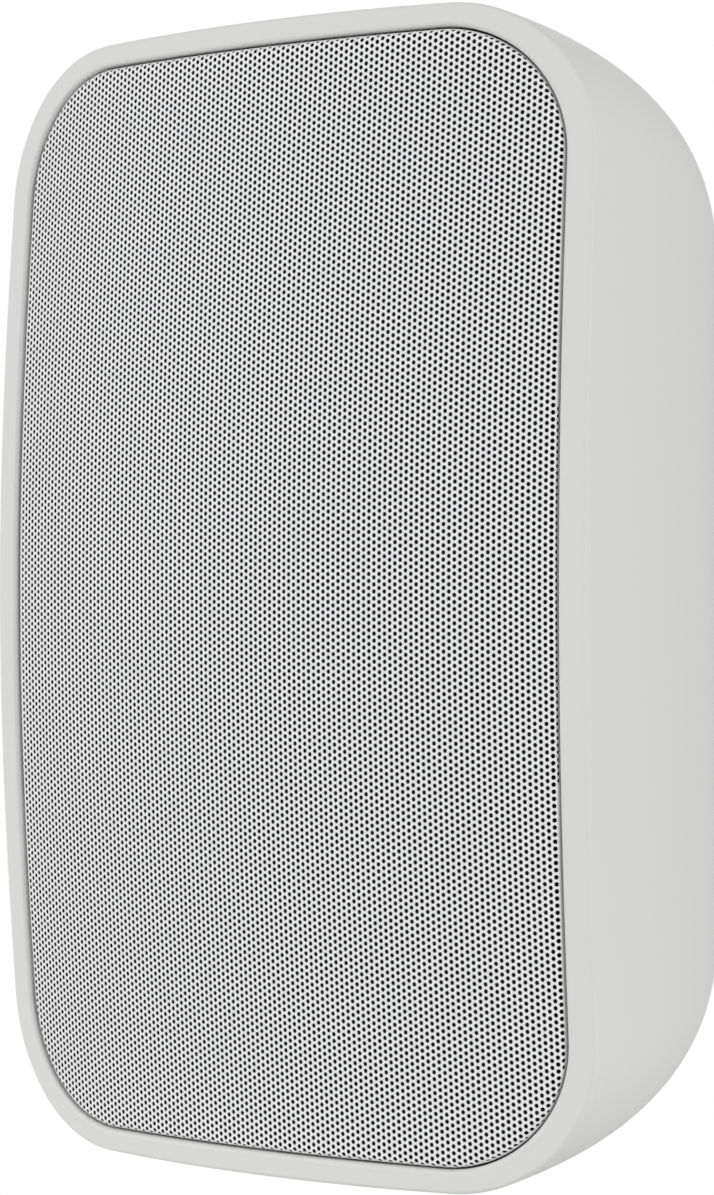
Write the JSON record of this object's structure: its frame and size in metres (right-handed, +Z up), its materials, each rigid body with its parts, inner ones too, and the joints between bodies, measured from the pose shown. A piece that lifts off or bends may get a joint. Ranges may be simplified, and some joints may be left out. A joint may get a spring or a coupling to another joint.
{
  "type": "outdoor patio speaker",
  "caption": "White wall-mounted outdoor speaker: rounded moulded pod with a convex perforated metal grille, a woofer and a dome tweeter behind it, and spring terminals at the back.",
  "frame": {"origin": "middle of the bracket mount, between the two threaded inserts on the flat back face", "axes": "+Z up, +X to the right of someone facing the grille, +Y out of the back; the grille faces -Y"},
  "size_m": [0.1964, 0.1747, 0.304],
  "materials": {
    "housing_plastic": "fine satin moulding",
    "grille_paint": "white powder coat",
    "scrim_cloth": "black woven cloth",
    "baffle_plastic": "black moulding",
    "gasket_rubber": "closed-cell strip",
    "screw_steel": "plated steel",
    "frame_paint": "black coat",
    "cone_plastic": "moulded cone",
    "surround_rubber": "soft rubber",
    "spider_cloth": "treated cloth",
    "coil_copper": "wound copper wire",
    "plate_steel": "zinc-plated steel",
    "ferrite": "sintered ferrite",
    "dome_aluminium": "drawn foil",
    "tweeter_plastic": "black moulding",
    "board_green": "coated board",
    "capacitor_sleeve": "shrink sleeve",
    "resistor_cement": "cement body",
    "cup_plastic": "black moulding",
    "terminal_brass": "bright brass",
    "button_red": "red moulding",
    "button_black": "black moulding"
  },
  "bodies": {
    "enclosure": {"enclosure": "housing_plastic", "grille": "grille_paint", "grille_scrim": "scrim_cloth", "front_baffle": "baffle_plastic", "baffle_gasket": "gasket_rubber", "baffle_screws": "screw_steel", "woofer_frame": "frame_paint", "woofer_gasket": "gasket_rubber", "woofer_screws": "screw_steel", "woofer_surround": "surround_rubber", "woofer_spider": "spider_cloth", "woofer_top_plate": "plate_steel", "woofer_magnet": "ferrite", "woofer_yoke": "plate_steel", "tweeter_faceplate": "tweeter_plastic", "tweeter_screws": "screw_steel", "tweeter_surround": "surround_rubber", "tweeter_top_plate": "plate_steel", "tweeter_magnet": "ferrite", "tweeter_yoke": "plate_steel", "crossover_board": "board_green", "crossover_screws": "screw_steel", "low_pass_inductor": "coil_copper", "high_pass_inductor": "coil_copper", "low_pass_capacitor": "capacitor_sleeve", "high_pass_capacitor": "capacitor_sleeve", "cement_resistor": "resistor_cement", "terminal_cup": "cup_plastic", "terminal_gasket": "gasket_rubber", "terminal_screws": "screw_steel", "terminal_post_red": "terminal_brass", "terminal_post_black": "terminal_brass", "terminal_spring_red": "screw_steel", "terminal_spring_black": "screw_steel", "mount_inserts": "terminal_brass"},
    "woofer_cone": {"woofer_cone": "cone_plastic", "woofer_dust_cap": "cone_plastic", "woofer_voice_coil": "coil_copper"},
    "tweeter_dome": {"tweeter_dome": "dome_aluminium", "tweeter_voice_coil": "coil_copper"},
    "red_button": {"terminal_button_red": "button_red"},
    "black_button": {"terminal_button_black": "button_black"}
  },
  "joints": [
    {"name": "woofer_travel", "type": "slide", "parent": "enclosure", "child": "woofer_cone", "axis": [0, -1, 0], "range_m": [-0.004, 0.004], "stiffness_N_per_m": 1500, "deforming": ["woofer_surround", "woofer_spider"]},
    {"name": "tweeter_travel", "type": "slide", "parent": "enclosure", "child": "tweeter_dome", "axis": [0, -1, 0], "range_m": [-0.0003, 0.0003], "stiffness_N_per_m": 4000, "deforming": ["tweeter_surround"]},
    {"name": "red_button_press", "type": "slide", "parent": "enclosure", "child": "red_button", "axis": [0, -1, 0], "range_m": [0, 0.004], "stiffness_N_per_m": 900, "springref_m": -0.004, "deforming": ["terminal_spring_red"]},
    {"name": "black_button_press", "type": "slide", "parent": "enclosure", "child": "black_button", "axis": [0, -1, 0], "range_m": [0, 0.004], "stiffness_N_per_m": 900, "springref_m": -0.004, "deforming": ["terminal_spring_black"]}
  ]
}
